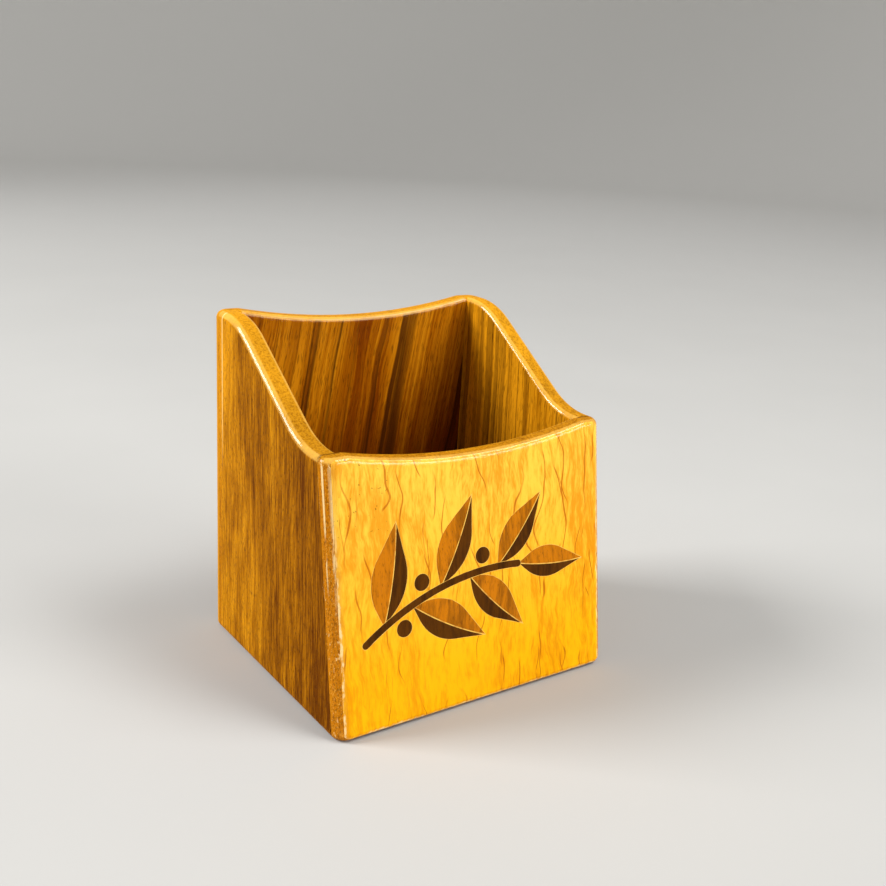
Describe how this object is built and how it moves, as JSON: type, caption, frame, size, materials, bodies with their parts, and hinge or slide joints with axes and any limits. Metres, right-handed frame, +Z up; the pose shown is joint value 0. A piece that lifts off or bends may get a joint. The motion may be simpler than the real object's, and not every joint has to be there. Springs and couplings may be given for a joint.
{
  "type": "pen holder",
  "caption": "Open-topped wooden desk box for pens, with a leaning veneered front inlaid with a leaf spray, sides that sweep down to it, and rounded edges.",
  "frame": {"origin": "on the desk, under the middle of the foot's outline", "axes": "+Z up, front towards -Y, +X to the right as seen from the front"},
  "size_m": [0.089, 0.0767, 0.096],
  "materials": {
    "box_wood": "satin lacquer",
    "base_wood": "oiled",
    "ground_veneer": "satin lacquer",
    "pale_inlay": "satin lacquer",
    "dark_inlay": "satin lacquer",
    "kerf_filler": "matte"
  },
  "bodies": {
    "root": {"back_board": "box_wood", "base_board": "base_wood", "berry_1": "dark_inlay", "berry_2": "dark_inlay", "berry_3": "dark_inlay", "front_board": "box_wood", "front_veneer": "ground_veneer", "kerf_filler": "kerf_filler", "leaf_1_dark": "dark_inlay", "leaf_1_pale": "pale_inlay", "leaf_2_dark": "dark_inlay", "leaf_2_pale": "pale_inlay", "leaf_3_dark": "dark_inlay", "leaf_3_pale": "pale_inlay", "leaf_4_dark": "dark_inlay", "leaf_4_pale": "pale_inlay", "leaf_5_dark": "dark_inlay", "leaf_5_pale": "pale_inlay", "leaf_6_dark": "dark_inlay", "leaf_6_pale": "pale_inlay", "left_side": "box_wood", "right_side": "box_wood", "stem": "dark_inlay"}
  },
  "joints": []
}
